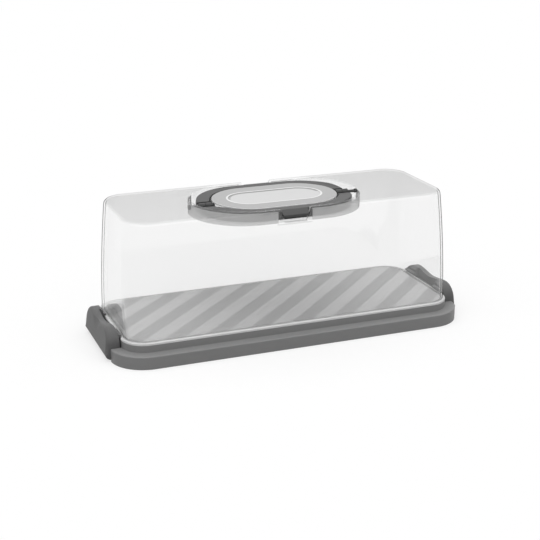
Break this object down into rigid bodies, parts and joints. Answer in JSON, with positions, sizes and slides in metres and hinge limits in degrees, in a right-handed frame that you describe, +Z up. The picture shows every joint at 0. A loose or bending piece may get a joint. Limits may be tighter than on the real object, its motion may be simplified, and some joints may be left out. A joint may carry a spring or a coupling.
{
  "type": "cake container",
  "caption": "Long rectangular cake container: stepped grey tray, clear lift-off cover held by end latches, and a swing handle sunk in the top.",
  "frame": {"origin": "centre of the tray's footprint, on the surface that it stands on", "axes": "+X along the container's length to the right as seen from the front, -Y to the front, +Z up"},
  "size_m": [0.37, 0.149, 0.134],
  "materials": {
    "tray_grey": "satin moulded polypropylene, deck with alternate matte and glossy diagonal stripes",
    "clear_plastic": "clear glossy moulded polystyrene",
    "handle_grey": "satin moulded polypropylene",
    "plate_light_grey": "satin moulded polypropylene",
    "latch_grey": "satin moulded polypropylene"
  },
  "bodies": {
    "tray": {"tray": "tray_grey"},
    "cover": {"cover": "clear_plastic", "handle_pin_left": "handle_grey", "handle_pin_right": "handle_grey", "top_plate": "plate_light_grey"},
    "handle_front": {"handle_front": "handle_grey"},
    "handle_rear": {"handle_rear": "handle_grey"},
    "latch_left": {"latch_left": "latch_grey"},
    "latch_right": {"latch_right": "latch_grey"}
  },
  "joints": [
    {"name": "cover_lift", "type": "slide", "parent": "tray", "child": "cover", "axis": [0, 0, 1], "range_m": [0, 0.0225]},
    {"name": "latch_left", "type": "hinge", "parent": "tray", "child": "latch_left", "pos_m": [-0.177, 0, 0.0085], "axis": [0, -1, 0], "range_deg": [0, 95]},
    {"name": "latch_right", "type": "hinge", "parent": "tray", "child": "latch_right", "pos_m": [0.177, 0, 0.0085], "axis": [0, 1, 0], "range_deg": [0, 95]},
    {"name": "handle_front", "type": "hinge", "parent": "cover", "child": "handle_front", "pos_m": [0, 0, 0.1286], "axis": [-1, 0, 0], "range_deg": [0, 80]},
    {"name": "handle_rear", "type": "hinge", "parent": "cover", "child": "handle_rear", "pos_m": [0, 0, 0.1286], "axis": [1, 0, 0], "range_deg": [0, 80]}
  ],
  "couplings": [
    {"joint": "latch_left", "follows": "cover_lift", "rad_per_m": 73.6},
    {"joint": "latch_right", "follows": "cover_lift", "rad_per_m": 73.6}
  ]
}
